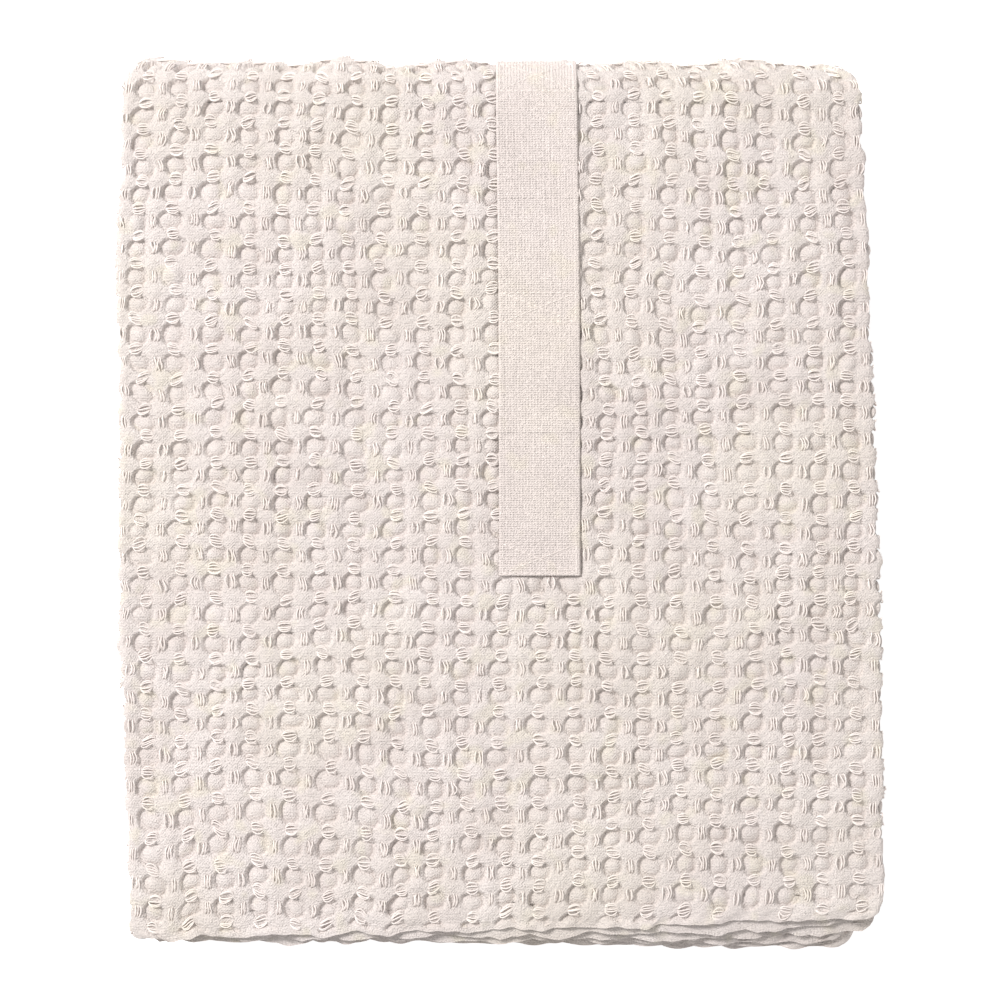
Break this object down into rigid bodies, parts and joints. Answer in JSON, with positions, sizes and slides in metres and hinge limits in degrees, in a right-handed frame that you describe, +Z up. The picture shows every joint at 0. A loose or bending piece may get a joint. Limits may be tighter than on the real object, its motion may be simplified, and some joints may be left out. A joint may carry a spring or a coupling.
{
  "type": "folded throw blanket",
  "caption": "Waffle-weave cotton throw folded in thirds and then in quarters, with a flat woven hanging tape sewn down its front by three boxed seams so that it forms two loops.",
  "frame": {"origin": "middle of the bottom of the whole box, on the back face that lies on the shelf or floor", "axes": "+Z up through the folded stack, out of the front face; +Y towards the top fold, which the tape passes over; +X to the right across the front face"},
  "size_m": [0.332, 0.385, 0.0427],
  "materials": {
    "waffle_cotton": "matte waffle-weave cotton, warm pale stone",
    "hem_cotton": "matte plain-weave cotton border, warm pale stone",
    "tape_cotton": "flat ribbed cotton tape, slightly lighter than the cloth",
    "sewing_thread": "tone-on-tone cotton sewing thread"
  },
  "bodies": {
    "back_half": {"back_outer_strip": "waffle_cotton", "back_inner_strip": "waffle_cotton", "first_fold": "waffle_cotton", "top_fold_outer": "waffle_cotton", "top_fold_inner": "waffle_cotton"},
    "front_half": {"front_outer_strip": "waffle_cotton", "front_inner_strip": "waffle_cotton", "outer_hem": "hem_cotton", "inner_hem": "hem_cotton", "outer_hem_stitches": "sewing_thread", "inner_hem_stitches": "sewing_thread", "tape_top_end": "tape_cotton", "tape_middle": "tape_cotton", "tape_bottom_end": "tape_cotton", "top_seam": "sewing_thread", "middle_seam": "sewing_thread", "bottom_seam": "sewing_thread"},
    "upper_loop": {"tape_upper_loop": "tape_cotton"},
    "lower_loop": {"tape_lower_loop": "tape_cotton"}
  },
  "joints": [
    {"name": "top_fold_opening", "type": "hinge", "parent": "back_half", "child": "front_half", "pos_m": [0, 0.1707, 0.02135], "axis": [-1, 0, 0], "range_deg": [0, 179], "deforming": ["top_fold_outer", "top_fold_inner", "tape_top_end", "top_seam"]},
    {"name": "upper_loop_lift", "type": "slide", "parent": "front_half", "child": "upper_loop", "axis": [0, 0, 1], "range_m": [0, 0.01]},
    {"name": "lower_loop_lift", "type": "slide", "parent": "front_half", "child": "lower_loop", "axis": [0, 0, 1], "range_m": [0, 0.01]}
  ]
}
